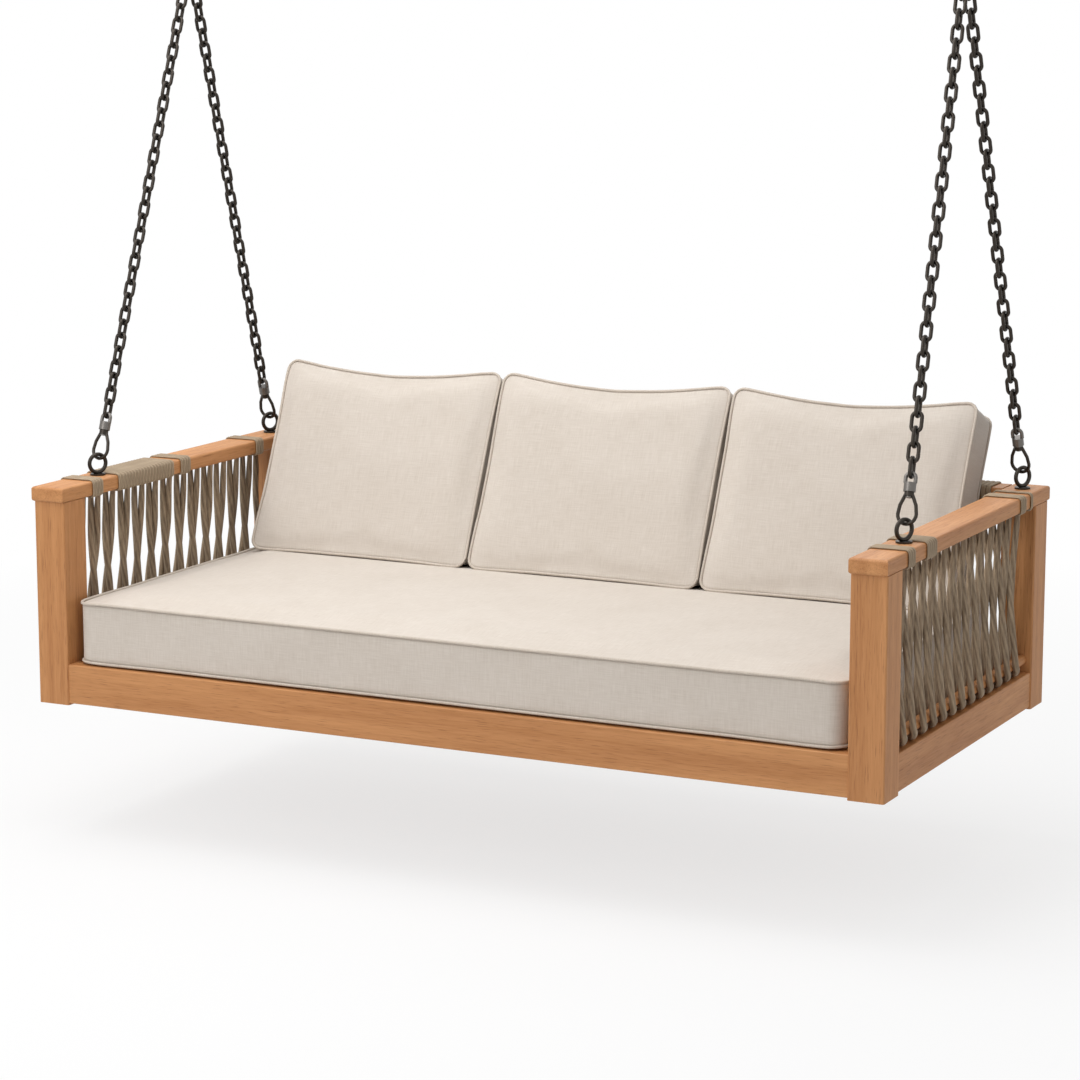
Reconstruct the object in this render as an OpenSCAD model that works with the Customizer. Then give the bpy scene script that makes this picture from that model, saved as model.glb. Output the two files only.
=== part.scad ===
// Hanging swing bed: a teak frame with rope-woven ends and back, hung on four chains.
// Millimetres. The origin is the centre of the four ceiling bolt holes, on the ceiling's face;
// +X runs along the bed, +Y from its open front to its back, +Z up.
// The bed's own modules are drawn from the floor side: z = 0 under the posts, y = 0 mid depth.

/* [Overall] */
// Length over the corner posts
bed_length = 2000; // [1800:10:2200]
// Depth over the corner posts
bed_depth = 1000; // [920:10:1100]
// Height of the corner posts
post_height = 455; // [400:5:520]

/* [Frame] */
// Post size along the bed
post_width = 78; // [70:1:90]
// Post size across the bed
post_depth = 84; // [76:1:96]
// Radius on the posts' upright edges
post_edge = 4; // [2:0.5:6]
// Width of the arm rails
arm_width = 82; // [78:1:90]
// Thickness of the arm rails and the back top rail
arm_height = 33; // [31:1:44]
// How far the arm rails run past the posts, front and back
arm_overhang = 7; // [3:1:20]
// Radius on the edges of the arm and top rails
arm_edge = 6; // [3:0.5:8]
// Width of the back top rail
back_rail_width = 70; // [60:1:76]
// Height of the front and back base rails
front_rail_height = 88; // [80:1:100]
// Height of the side base rails
side_rail_height = 79; // [70:1:90]
// Thickness of all base rails
rail_thickness = 42; // [36:1:46]
// Height of the base rails' undersides above the posts' feet
rail_lift = 4; // [2:1:15]
// Setback of the base rails from the posts' outer faces
rail_inset = 3; // [1:0.5:6]
// Radius on the base rails' long edges
rail_edge = 3; // [1:0.5:5]

/* [Joinery] */
// Depth of each base rail tenon, in the rail and in the post
tenon_depth = 28; // [20:1:34]
// Thickness of the base rail tenons
tenon_thickness = 12; // [10:1:14]
// Height of the base rail tenons
tenon_height = 56; // [40:1:60]
// Depth of the back top rail's tenons, in the rail and in the arm
top_tenon_depth = 20; // [14:1:22]
// Width of the back top rail's tenons
top_tenon_width = 26; // [20:1:28]
// Thickness of the back top rail's tenons
top_tenon_height = 12; // [8:1:13]
// Diameter of the dowels between posts and arm rails
arm_dowel_d = 10; // [8:1:12]
// Length of the dowels between posts and arm rails
arm_dowel_length = 50; // [36:2:52]
// Distance of those dowels from the post's centre line
arm_dowel_spread = 22; // [18:1:24]

/* [Bed base] */
// Number of slats
slat_count = 15; // [9:1:16]
// Width of a slat
slat_width = 88; // [50:1:100]
// Thickness of a slat
slat_thickness = 18; // [15:1:22]
// Height of the slats' tops over the front rail's top
slat_proud = 1; // [0:0.5:4]
// Thickness of the cleats that carry the slats
cleat_width = 20; // [16:1:30]
// Height of the cleats
cleat_height = 25; // [20:1:35]
// Width of the centre beam
beam_width = 60; // [40:1:80]
// Height of the centre beam
beam_height = 42; // [30:1:44]
// Reach of the blocks under the centre beam's ends
beam_block_length = 40; // [25:1:60]
// Height of those blocks
beam_block_height = 22; // [12:1:24]
// Shank diameter of the slat screws
screw_d = 4; // [3:0.5:5]
// Length of the slat screws
screw_length = 34; // [26:1:36]
// Head diameter of the slat screws
screw_head_d = 8; // [7:0.5:10]
// Head height of the slat screws
screw_head_height = 3; // [2:0.5:4]

/* [Rope] */
// Diameter of the woven rope
rope_d = 10; // [8:0.5:10.5]
// Aimed distance between one figure-of-eight turn and the next
turn_pitch = 59; // [50:1:64]
// Diameter of the steel rods hidden in the grooves under the top rails
rod_d = 10; // [8:0.5:11]
// Diameter of the round lower dowels
dowel_d = 24; // [20:1:28]
// Depth of the dowel sockets in the posts
socket_depth = 14; // [10:1:20]
// How far the end panels' dowels stand outboard of the posts' middles
dowel_out = 14; // [0:1:16]
// Room between the lowest rope loops and the base rails
loop_lift = 4; // [2:1:12]
// Width of the grooves under the top rails
groove_width = 40; // [38:1:44]
// Thickness of the fine cord whipped round the rails
whip_d = 4.5; // [3:0.5:5]

/* [Cushions] */
// Thickness of the seat cushion
seat_thickness = 140; // [110:1:170]
// Setback of the seat cushion from the posts' front faces
seat_setback = 29; // [10:1:60]
// Room between the seat cushion and the arm rails' whipping
seat_side_room = 6; // [5:1:20]
// Corner radius of the cushions
cushion_corner = 32; // [15:1:45]
// Radius along the cushions' other edges
cushion_edge = 16; // [8:1:25]
// Thickness of a back cushion
back_thickness = 106; // [90:1:150]
// Length of a back cushion along its lean
back_height = 438; // [400:1:540]
// Room between two back cushions
back_room = 6; // [4:1:20]
// Room between the outer back cushions and the seat cushion's ends
back_side_room = 36; // [10:1:60]
// Backward lean of the back cushions in degrees
back_lean = 24; // [20:1:32]

/* [Hanging gear] */
// Height of the chains' meeting point over the posts' feet
apex_height = 1632; // [1500:4:1800]
// How far each side's hanger stands inboard of the eye bolts
apex_inboard = 30; // [0:2:60]
// Rope loops between the front post and the front eye bolt
eye_loop = 1; // [1:1:3]
// Distance of the back eye bolt behind the back post's front face
eye_back_in = 22; // [20:1:30]
// Wire diameter of the chain
link_wire = 8; // [7:0.5:8]
// Aimed pitch of the chain
link_pitch = 30.5; // [29:0.5:34]
// Outer width of a chain link
link_width = 29; // [27:0.5:30]
// Wire diameter of the eye bolts
eye_wire = 9; // [8:0.5:10]
// Outer diameter of the eye bolts' rings
eye_ring_d = 49.5; // [46:0.5:54]
// Turn of the eye rings about the upright
ring_turn = -28; // [-32:1:-20]
// Turn of the bows about their chains
bow_turn = -6; // [-8:1:0]
// Flange diameter of the eye bolts
eye_flange_d = 34; // [24:1:35]
// Flange height of the eye bolts
eye_flange_height = 4; // [3:0.5:6]
// Shank diameter of the eye bolts
eye_shank_d = 10; // [8:0.5:11]
// Washer diameter under the eye bolts' nuts
washer_d = 22; // [20:0.5:23]
// Washer thickness
washer_thickness = 2.5; // [2:0.5:3]
// Nut height on the eye bolts
nut_height = 4; // [3:0.5:4.5]
// Nut size across the flats
nut_flats = 17; // [16:0.5:19]
// Wire diameter of the swivels' bows
bow_wire = 7.5; // [7:0.5:8]
// Outer width of a bow
bow_width = 48; // [46:1:52]
// Height of a bow's straight sides
bow_rise = 36; // [28:1:46]
// Diameter of the bows' bosses
boss_d = 20; // [18:0.5:24]
// Height of the bows' bosses
boss_height = 9; // [7:0.5:12]
// Diameter of the swivel shanks
swivel_d = 10; // [8:0.5:11]
// Diameter of the swivels' collars
collar_d = 25; // [22:1:28]
// Height of the swivels' collars
collar_height = 18.5; // [14:0.5:24]
// Straight rise of the swivels' upper eyes over the collar
eye_leg = 9; // [8:0.5:14]
// Wire diameter of the apex rings
apex_wire = 10; // [9:0.5:11]
// Mean radius of the apex rings
apex_ring_r = 25; // [24:0.5:30]

/* [Ceiling hangers] */
// Ceiling plate length across the bed
plate_length = 130; // [110:2:160]
// Ceiling plate width along the bed
plate_width = 60; // [50:1:80]
// Ceiling plate thickness
plate_thickness = 6; // [5:0.5:10]
// Distance between a plate's two bolt holes
plate_hole_pitch = 95; // [80:1:110]
// Diameter of the ceiling bolt holes
plate_hole_d = 11; // [9:0.5:13]
// Thickness of the two cheeks under a plate
cheek_thickness = 6; // [5:0.5:8]
// Room between the cheeks
cheek_room = 20; // [16:0.5:24]
// Radius of the cheeks' round ends
cheek_r = 20; // [17:0.5:24]
// Distance from the ceiling plate to the hanger pin
pin_drop = 34; // [28:1:45]
// Diameter of the hanger pins
pin_d = 12; // [10:0.5:14]
// Outer diameter of a yoke's barrel
barrel_d = 30; // [26:1:34]
// Distance from the hanger pin down to a yoke's lower hole
yoke_drop = 44; // [38:1:60]
// Thickness of a yoke's lower eye
yoke_eye_thickness = 10; // [8:0.5:10]
// Outer radius of a yoke's lower eye
yoke_eye_r = 14; // [13:0.5:15]
// Radius of a yoke's lower hole
yoke_hole_r = 7.6; // [7:0.2:8]

/* [Fits] */
// Gap of a loose seat between two pieces
seat_gap = 0.3; // [0.2:0.05:0.5]
// Gap round a tenon or dowel
joint_gap = 0.2; // [0.1:0.05:0.3]
// Radial clearance of a turning pin
running_gap = 0.06; // [0.03:0.01:0.09]
// Play between two hooked rings
hook_play = 0.8; // [0.7:0.05:0.9]
// Play of an apex ring in its yoke, which also lets the far side swing true
apex_play = 1; // [0.9:0.05:1.2]

/* [Hidden] */
$fn = 64;

// sides: -1 is left or front, 1 is right or back
left = -1;
right = 1;
front = -1;
back = 1;
// a length that reaches past any piece, for cuts that run out of it
past = 2;
// an overlap that joins two shapes of one piece
fuse = 1;

teak = [0.72, 0.47, 0.27];
teak_dark = [0.62, 0.39, 0.21];
rope_grey = [0.52, 0.45, 0.36];
linen = [0.84, 0.80, 0.74];
gunmetal = [0.17, 0.17, 0.18];
grey_steel = [0.55, 0.56, 0.57];

// frame
half_length = bed_length / 2;
half_depth = bed_depth / 2;
post_x = half_length - post_width / 2;
post_y = half_depth - post_depth / 2;
post_in_x = half_length - post_width;
side_dowel_x = post_x + dowel_out;
post_in_y = half_depth - post_depth;
arm_top = post_height + arm_height;
arm_length = bed_depth + 2 * arm_overhang;
arm_in_x = post_x - arm_width / 2;
front_rail_top = rail_lift + front_rail_height;
side_rail_top = rail_lift + side_rail_height;
rail_y = half_depth - rail_inset - rail_thickness / 2;
rail_x = half_length - rail_inset - rail_thickness / 2;
rail_in_y = rail_y - rail_thickness / 2;
rail_in_x = rail_x - rail_thickness / 2;
tenon_z = rail_lift + side_rail_height / 2;
// the dowels into the arm rails stand just outside the back top rail's tenons
dowel_web = 2;
arm_dowel_y = post_y + top_tenon_width / 2 + arm_dowel_d / 2 + dowel_web;

// rope weave: the rope's centre line runs round the rod and the dowel on these radii,
// opened a little so that the facets between two rings of points stay off the wood
loop_steps = 6;
rope_sides = 6;
widest_wrap = 194;
loop_step = widest_wrap / loop_steps;
rod_loop_r = (rod_d / 2 + seat_gap + rope_d / 2) / cos(loop_step / 2);
dowel_loop_r = (dowel_d / 2 + seat_gap + rope_d / 2) / cos(loop_step / 2);
rod_room = 0.5;
rod_z = post_height + rod_room + rod_d / 2;
groove_top = rod_z + rod_loop_r + rope_d / 2 + seat_gap;
side_dowel_z = side_rail_top + loop_lift + dowel_loop_r + rope_d / 2;
back_dowel_z = front_rail_top + loop_lift + dowel_loop_r + rope_d / 2;
// the grooves end short of the posts, and the rods run on into sockets in the rails
groove_end = 12;
rod_end = 10;
side_groove = post_in_y - groove_end;
back_groove = arm_in_x - top_tenon_depth - groove_end / 2;
weave_end_room = 12;
side_span = side_groove - rope_d / 2 - weave_end_room;
back_span = back_groove - rope_d / 2 - weave_end_room;
side_turns = round(2 * side_span / turn_pitch);
back_turns = round(2 * back_span / turn_pitch);
// a loop's two strands hang this far apart along the rail at the rod and at the dowel,
// and pass each other this far apart where they cross
loop_walk = 2;
cross_walk = rope_d + 2;
side_pitch = (2 * side_span - loop_walk) / side_turns;
back_pitch = (2 * back_span - loop_walk) / back_turns;
top_tenon_rise = 4;
top_tenon_z = groove_top - top_tenon_height / 2 + top_tenon_rise;

// bed base
slat_top = front_rail_top + slat_proud;
slat_bottom = slat_top - slat_thickness;
slat_end_room = 1;
slat_post_room = 12;
slat_half = rail_in_y - slat_end_room;
slat_end_x = post_in_x - slat_post_room - slat_width / 2;
cleat_y = rail_in_y - cleat_width / 2;
beam_bottom = slat_bottom - beam_height;

// cushions
seat_half = arm_in_x - whip_d - seat_side_room;
seat_front = -half_depth + seat_setback;
back_rail_front = post_y - back_rail_width / 2;
seat_back_room = 2;
seat_back = back_rail_front - whip_d - seat_back_room;
seat_bottom = slat_top + seat_gap;
seat_top = seat_bottom + seat_thickness;
back_width = (2 * (seat_half - back_side_room) - 2 * back_room) / 3;
// the back cushions lean on the whipped front edge of the back top rail
lean_r = arm_edge + whip_d + 2 * seat_gap;
lean_y = back_rail_front + arm_edge - lean_r * cos(back_lean);
lean_z = arm_top - arm_edge + lean_r * sin(back_lean);
lean_foot_y = lean_y - (lean_z - seat_top) * tan(back_lean);

// hanging gear
eye_ring_r = (eye_ring_d - eye_wire) / 2;
ring_sunk = 2;
eye_ring_z = arm_top + eye_flange_height + eye_ring_d / 2 - ring_sunk;
// the front eye bolt stands between two rope loops, at this share of the way to the next
between_loops = 0.32;
eye_front_y = -side_span + (eye_loop + between_loops) * side_pitch;
eye_back_y = post_in_y + eye_back_in;
// the chains meet midway between the eye bolts, which is over the centre of mass
apex_back = (eye_front_y + eye_back_y) / 2;
eye_web = arm_top - groove_top;
shank_show = 0.5;
eye_shank_length = eye_web + washer_thickness + nut_height + shank_show;
recess_room = 1;
eye_recess_r = washer_d / 2 + recess_room;
apex_x = post_x - apex_inboard;
apex_top = apex_height + apex_ring_r;
yoke_hole_z = apex_top - apex_wire / 2 - apex_play + yoke_hole_r;
pin_z = yoke_hole_z + yoke_drop;
plate_z = pin_z + pin_drop;
ceiling_z = plate_z + plate_thickness;
barrel_room = 0.5;
barrel_length = cheek_room - 2 * barrel_room;

// a swivel, measured upwards from the middle of the eye ring's wire along the chain
bow_r = (bow_width - bow_wire) / 2;
bow_low = -(eye_wire / 2 + bow_wire / 2 + hook_play);
bow_mid = bow_low + bow_r;
boss_low = bow_mid + bow_rise;
boss_top = boss_low + boss_height;
collar_low = boss_top + seat_gap;
collar_top = collar_low + collar_height;
rivet_height = 3;
rivet_rim = 2;
rivet_d = swivel_d + 2 * rivet_rim;
link_r = (link_width - link_wire) / 2;
swivel_eye_top = collar_top + eye_leg + link_r;
link_gap = 0.3;

function unit(v) = v / norm(v);
function eye_at(side, end) = [side * post_x, end < 0 ? eye_front_y : eye_back_y, eye_ring_z];
function apex_at(side) = [side * apex_x, apex_back, apex_height];
// the bow hooks the ring's wire at the point that the taut chain pulls to
function ring_axis() = [cos(ring_turn), sin(ring_turn), 0];
function hook_at(side, end) =
    let (pull = apex_at(side) - eye_at(side, end), axis = ring_axis())
    eye_at(side, end) + eye_ring_r * unit(pull - (pull * axis) * axis);
function chain_dir(side, end) = unit(apex_at(side) - hook_at(side, end));
// length that the links have to fill, from the first link's upper wire to the last one's lower wire
function chain_run(side, end) =
    norm(apex_at(side) - hook_at(side, end))
    - (apex_ring_r - apex_wire / 2 - link_wire / 2 - link_gap)
    - (swivel_eye_top - link_wire - link_gap);
function link_count(side, end) =
    round((chain_run(side, end) - link_wire - link_gap) / link_pitch);
function link_advance(side, end) =
    (chain_run(side, end) - link_wire - link_gap) / link_count(side, end);

// ---- shared shapes ----

module in_bed() {
    translate([0, -apex_back, -ceiling_z]) children();
}

// a rectangle with round corners, centred
module round_rect(w, h, r) {
    square([w - 2 * r, h], center = true);
    square([w, h - 2 * r], center = true);
    for (x = [-1, 1], y = [-1, 1])
        translate([x * (w / 2 - r), y * (h / 2 - r)]) circle(r);
}

// a bar along Y with round edges, its profile given as width and height
module bar_y(w, l, h, r) {
    rotate([90, 0, 0]) linear_extrude(l, center = true) round_rect(w, h, r);
}

// a bar along X with round edges
module bar_x(l, w, h, r) {
    rotate([0, 0, 90]) bar_y(w, l, h, r);
}

module rod_x(r, l) { rotate([0, 90, 0]) cylinder(r = r, h = l, center = true); }
module rod_y(r, l) { rotate([90, 0, 0]) cylinder(r = r, h = l, center = true); }

module torus(ring_r, wire_r) {
    rotate_extrude() translate([ring_r, 0]) circle(wire_r);
}

module half_torus(ring_r, wire_r) {
    rotate_extrude(angle = 180) translate([ring_r, 0]) circle(wire_r);
}

// half of a ring that stands in the XZ plane, opening downwards
module upright_arch(ring_r, wire_r) {
    rotate([90, 0, 0]) half_torus(ring_r, wire_r);
}

// turns the children so that +Z runs along dir and +X stays as near to the bed's X as it can
module along(at, dir) {
    side = unit([1, 0, 0] - dir[0] * dir);
    third = cross(dir, side);
    multmatrix([
        [side[0], third[0], dir[0], at[0]],
        [side[1], third[1], dir[1], at[1]],
        [side[2], third[2], dir[2], at[2]],
        [0, 0, 0, 1],
    ]) children();
}

function tangent(path, i) =
    unit(path[min(i + 1, len(path) - 1)] - path[max(i - 1, 0)]);
function tube_ring(path, i, flat, r, sides) =
    let (t = tangent(path, i), a = unit(cross(flat, t)), b = cross(t, a))
    [for (k = [0:sides - 1]) path[i] + r * (cos(360 * k / sides) * a + sin(360 * k / sides) * b)];

// a round tube along a path of points; flat is a direction that the path never follows
module tube(path, flat, r, sides) {
    last = len(path) - 1;
    polyhedron(
        points = [for (i = [0:last]) each tube_ring(path, i, flat, r, sides)],
        faces = concat(
            [[for (k = [0:sides - 1]) k]],
            [for (i = [0:last - 1], k = [0:sides - 1]) let (n = (k + 1) % sides)
                each [[i * sides + k, (i + 1) * sides + k, (i + 1) * sides + n],
                      [i * sides + k, (i + 1) * sides + n, i * sides + n]]],
            [[for (k = [sides - 1:-1:0]) last * sides + k]]
        )
    );
}

// ---- frame ----

module tenon_x(grow = 0) {
    cube([2 * tenon_depth + 2 * grow, tenon_thickness + 2 * grow, tenon_height + 2 * grow],
        center = true);
}

module tenon_y(grow = 0) {
    cube([tenon_thickness + 2 * grow, 2 * tenon_depth + 2 * grow, tenon_height + 2 * grow],
        center = true);
}

module post(side, end) {
    color(teak) difference() {
        translate([side * post_x, end * post_y, 0])
            linear_extrude(post_height) round_rect(post_width, post_depth, post_edge);
        translate([side * post_in_x, end * rail_y, tenon_z]) tenon_x(joint_gap);
        translate([side * rail_x, end * post_in_y, tenon_z]) tenon_y(joint_gap);
        translate([side * side_dowel_x, end * post_in_y, side_dowel_z])
            rod_y(dowel_d / 2 + joint_gap, 2 * (socket_depth + joint_gap));
        if (end == back)
            translate([side * post_in_x, end * post_y, back_dowel_z])
                rod_x(dowel_d / 2 + joint_gap, 2 * (socket_depth + joint_gap));
        arm_dowel_pair(side, end, joint_gap);
    }
}

module arm_dowel_pair(side, end, grow = 0) {
    for (x = [-1, 1])
        translate([side * post_x + x * arm_dowel_spread, end * arm_dowel_y,
                post_height - arm_dowel_length / 2 - grow])
            cylinder(d = arm_dowel_d + 2 * grow, h = arm_dowel_length + 2 * grow);
}

module arm_rail(side) {
    color(teak) difference() {
        intersection() {
            translate([side * post_x, 0, post_height + arm_height / 2])
                bar_y(arm_width, arm_length, arm_height, arm_edge);
            translate([side * post_x, 0, post_height + arm_height / 2])
                bar_x(arm_width + past, arm_length, arm_height, arm_edge);
        }
        // groove for the rope loops, with the rod's sockets at its ends
        translate([side * post_x - groove_width / 2, -side_groove, post_height - past])
            cube([groove_width, 2 * side_groove, groove_top - post_height + past]);
        translate([side * post_x, 0, rod_z])
            rod_y(rod_d / 2 + joint_gap, 2 * (side_groove + rod_end + joint_gap));
        for (end = [front, back]) {
            arm_dowel_pair(side, end, joint_gap);
            translate([side * post_x, eye_at(side, end)[1], groove_top - past])
                cylinder(d = eye_shank_d + 2 * joint_gap, h = eye_web + 2 * past);
        }
        // recess over the back post for the eye bolt's washer and nut
        translate([side * post_x, eye_back_y, post_height - past])
            cylinder(r = eye_recess_r, h = groove_top - post_height + past);
        translate([side * arm_in_x, post_y, top_tenon_z]) top_tenon(joint_gap);
    }
}

module top_tenon(grow = 0) {
    cube([2 * top_tenon_depth + 2 * grow, top_tenon_width + 2 * grow,
        top_tenon_height + 2 * grow], center = true);
}

module back_top_rail() {
    color(teak) difference() {
        translate([0, post_y, post_height + arm_height / 2])
            bar_x(2 * arm_in_x, back_rail_width, arm_height, arm_edge);
        translate([-back_groove, post_y - groove_width / 2, post_height - past])
            cube([2 * back_groove, groove_width, groove_top - post_height + past]);
        translate([0, post_y, rod_z])
            rod_x(rod_d / 2 + joint_gap, 2 * (back_groove + rod_end + joint_gap));
        for (side = [left, right])
            translate([side * arm_in_x, post_y, top_tenon_z]) top_tenon(joint_gap);
    }
}

module long_base_rail(end) {
    color(teak) difference() {
        translate([0, end * rail_y, rail_lift + front_rail_height / 2])
            bar_x(2 * post_in_x, rail_thickness, front_rail_height, rail_edge);
        for (side = [left, right])
            translate([side * post_in_x, end * rail_y, tenon_z]) tenon_x(joint_gap);
    }
}

module side_base_rail(side) {
    color(teak) difference() {
        translate([side * rail_x, 0, rail_lift + side_rail_height / 2])
            bar_y(rail_thickness, 2 * post_in_y, side_rail_height, rail_edge);
        for (end = [front, back])
            translate([side * rail_x, end * post_in_y, tenon_z]) tenon_y(joint_gap);
    }
}

module base_tenons() {
    color(teak_dark) for (side = [left, right], end = [front, back]) {
        translate([side * post_in_x, end * rail_y, tenon_z]) tenon_x();
        translate([side * rail_x, end * post_in_y, tenon_z]) tenon_y();
    }
}

module top_tenons() {
    color(teak_dark) for (side = [left, right])
        translate([side * arm_in_x, post_y, top_tenon_z]) top_tenon();
}

module arm_dowels() {
    color(teak_dark) for (side = [left, right], end = [front, back])
        arm_dowel_pair(side, end);
}

// ---- bed base ----

function slat_x(i) = -slat_end_x + i * 2 * slat_end_x / (slat_count - 1);

module slat_screw(grow = 0) {
    translate([0, 0, slat_top - screw_length - grow])
        cylinder(d = screw_d + 2 * grow, h = screw_length + grow);
    translate([0, 0, slat_top - screw_head_height - grow])
        cylinder(d = screw_head_d + 2 * grow, h = screw_head_height + grow + (grow > 0 ? past : 0));
}

module all_slat_screws(grow = 0) {
    for (i = [0:slat_count - 1], end = [front, back])
        translate([slat_x(i), end * cleat_y, 0]) slat_screw(grow);
}

module slats() {
    color(teak_dark) difference() {
        for (i = [0:slat_count - 1])
            translate([slat_x(i), 0, (slat_top + slat_bottom) / 2])
                cube([slat_width, 2 * slat_half, slat_thickness], center = true);
        all_slat_screws(joint_gap);
    }
}

module slat_cleats() {
    color(teak_dark) difference() {
        for (end = [front, back])
            translate([0, end * cleat_y, slat_bottom - cleat_height / 2])
                cube([2 * post_in_x, cleat_width, cleat_height], center = true);
        all_slat_screws(joint_gap);
    }
}

module slat_screws() {
    color(grey_steel) all_slat_screws();
}

module centre_beam() {
    color(teak_dark) translate([0, 0, slat_bottom - beam_height / 2])
        cube([2 * (rail_in_x - seat_gap), beam_width, beam_height], center = true);
}

module beam_blocks() {
    color(teak_dark) for (side = [left, right])
        translate([side * (rail_in_x - beam_block_length / 2), 0, beam_bottom - beam_block_height / 2])
            cube([beam_block_length, beam_width, beam_block_height], center = true);
}

// ---- rope weave ----

// The rope runs in figures of eight: over the rod, down across to the dowel's far side, under
// the dowel to the next turn, and up across again. Points: X along the weave, Y through it, Z up.
function weave_path(turns, pitch, low_z) =
    let (h = rod_z - low_z,
        tilt = asin((rod_loop_r + dowel_loop_r) / h),
        sweep = 180 + 2 * tilt,
        cross_z = rod_z - h * rod_loop_r / (rod_loop_r + dowel_loop_r),
        passing = (cross_walk - loop_walk) / 2)
    [for (turn = [0:turns]) let (at = turn * pitch) each concat(
        turn == 0 ? [] : [[at - passing, 0, cross_z]],
        [for (j = [0:loop_steps]) let (a = 180 + tilt - j * sweep / loop_steps)
            [at + j / loop_steps * loop_walk,
             rod_loop_r * cos(a), rod_z + rod_loop_r * sin(a)]],
        turn == turns ? [] : [[at + loop_walk + passing, 0, cross_z]],
        turn == turns ? [] :
        [for (j = [0:loop_steps]) let (a = 180 - tilt + j * sweep / loop_steps)
            [at + loop_walk + j / loop_steps * (pitch - loop_walk),
             dowel_loop_r * cos(a), low_z + dowel_loop_r * sin(a)]])];

// out: how far the dowel stands off the plumb line under the rod, which leans the whole panel
module weave(turns, pitch, span, low_z, out = 0) {
    drop = rod_z - low_z;
    path = weave_path(turns, pitch, rod_z - norm([out, drop]));
    color(rope_grey) translate([-span, 0, rod_z]) rotate([atan(out / drop), 0, 0])
        translate([0, 0, -rod_z]) tube(path, [1, 0, 0], rope_d / 2, rope_sides);
}

module side_weave(side) {
    translate([side * post_x, 0, 0]) mirror([side < 0 ? 1 : 0, 0, 0]) rotate([0, 0, 90])
        weave(side_turns, side_pitch, side_span, side_dowel_z, -dowel_out);
}

module back_weave() {
    translate([0, post_y, 0]) weave(back_turns, back_pitch, back_span, back_dowel_z);
}

module side_weave_rod(side) {
    color(grey_steel) translate([side * post_x, 0, rod_z])
        rod_y(rod_d / 2, 2 * (side_groove + rod_end));
}

module back_weave_rod() {
    color(grey_steel) translate([0, post_y, rod_z])
        rod_x(rod_d / 2, 2 * (back_groove + rod_end));
}

module side_lower_dowel(side) {
    color(teak) translate([side * side_dowel_x, 0, side_dowel_z])
        rod_y(dowel_d / 2, 2 * (post_in_y + socket_depth));
}

module back_lower_dowel() {
    color(teak) translate([0, post_y, back_dowel_z])
        rod_x(dowel_d / 2, 2 * (post_in_x + socket_depth));
}

// fine cord whipped round a rail: an open sleeve whose lips tuck under beside the groove
module whipping_section(rail_width) {
    difference() {
        round_rect(rail_width + 2 * whip_d, arm_height + 2 * whip_d, arm_edge + whip_d);
        round_rect(rail_width + 2 * seat_gap, arm_height + 2 * seat_gap, arm_edge + seat_gap);
        translate([-groove_width / 2, -arm_height / 2 - whip_d - past])
            square([groove_width, whip_d + 2 * past]);
    }
}

module whipping_band(rail_width, low, high) {
    rotate([90, 0, 0]) translate([0, 0, -high])
        linear_extrude(high - low) whipping_section(rail_width);
}

// bands as [start, end] distances behind the front eye bolt, or before the back one
front_bands = [[[-84, -43], [18, 246], [275, 317]], [[-89, -51], [18, 74]]];
back_bands = [[[139, 104]], [[139, 104], [71, 58]]];

module arm_whipping(side) {
    row = side < 0 ? 0 : 1;
    color(rope_grey) translate([side * post_x, 0, post_height + arm_height / 2]) {
        for (band = front_bands[row])
            whipping_band(arm_width, eye_front_y + band[0], eye_front_y + band[1]);
        for (band = back_bands[row])
            whipping_band(arm_width, eye_back_y - band[0], eye_back_y - band[1]);
    }
}

// the back top rail is whipped at both ends and in two short bands between
back_end_band = [25, 190];
back_mid_band = [250, 312];

module back_whipping() {
    color(rope_grey) translate([0, post_y, post_height + arm_height / 2]) rotate([0, 0, -90])
        for (side = [left, right]) {
            reach = [side * (arm_in_x - back_end_band[0]), side * (arm_in_x - back_end_band[1])];
            whipping_band(back_rail_width, min(reach), max(reach));
            middle = [side * back_mid_band[0], side * back_mid_band[1]];
            whipping_band(back_rail_width, min(middle), max(middle));
        }
}

// ---- eye bolts ----

module eye_bolts() {
    color(gunmetal) for (side = [left, right], end = [front, back])
        translate([side * post_x, eye_at(side, end)[1], 0]) {
            translate([0, 0, eye_ring_z]) rotate([0, 0, ring_turn]) rotate([0, 90, 0])
                torus(eye_ring_r, eye_wire / 2);
            translate([0, 0, arm_top]) cylinder(d = eye_flange_d, h = eye_flange_height);
            translate([0, 0, arm_top - eye_shank_length])
                cylinder(d = eye_shank_d, h = eye_shank_length + fuse);
        }
}

module eye_washers() {
    color(grey_steel) for (side = [left, right], end = [front, back])
        translate([side * post_x, eye_at(side, end)[1], groove_top - washer_thickness])
            difference() {
                cylinder(d = washer_d, h = washer_thickness);
                translate([0, 0, -past])
                    cylinder(d = eye_shank_d + 2 * joint_gap, h = washer_thickness + 2 * past);
            }
}

module eye_nuts() {
    color(grey_steel) for (side = [left, right], end = [front, back])
        translate([side * post_x, eye_at(side, end)[1], groove_top - washer_thickness - nut_height])
            difference() {
                cylinder(d = nut_flats / cos(30), h = nut_height, $fn = 6);
                translate([0, 0, -past])
                    cylinder(d = eye_shank_d + 2 * running_gap, h = nut_height + 2 * past);
            }
}

// ---- chains and swivels ----

// the straight sides are cut to whole steps, so that arches and sides meet face to face
link_step = 0.02;

module chain_link(length) {
    straight = link_step * floor((length - 2 * link_r) / link_step);
    translate([0, 0, straight / 2]) upright_arch(link_r, link_wire / 2);
    translate([0, 0, -straight / 2]) mirror([0, 0, 1]) upright_arch(link_r, link_wire / 2);
    for (x = [-1, 1])
        translate([x * link_r, 0, -straight / 2]) cylinder(d = link_wire, h = straight);
}

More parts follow.
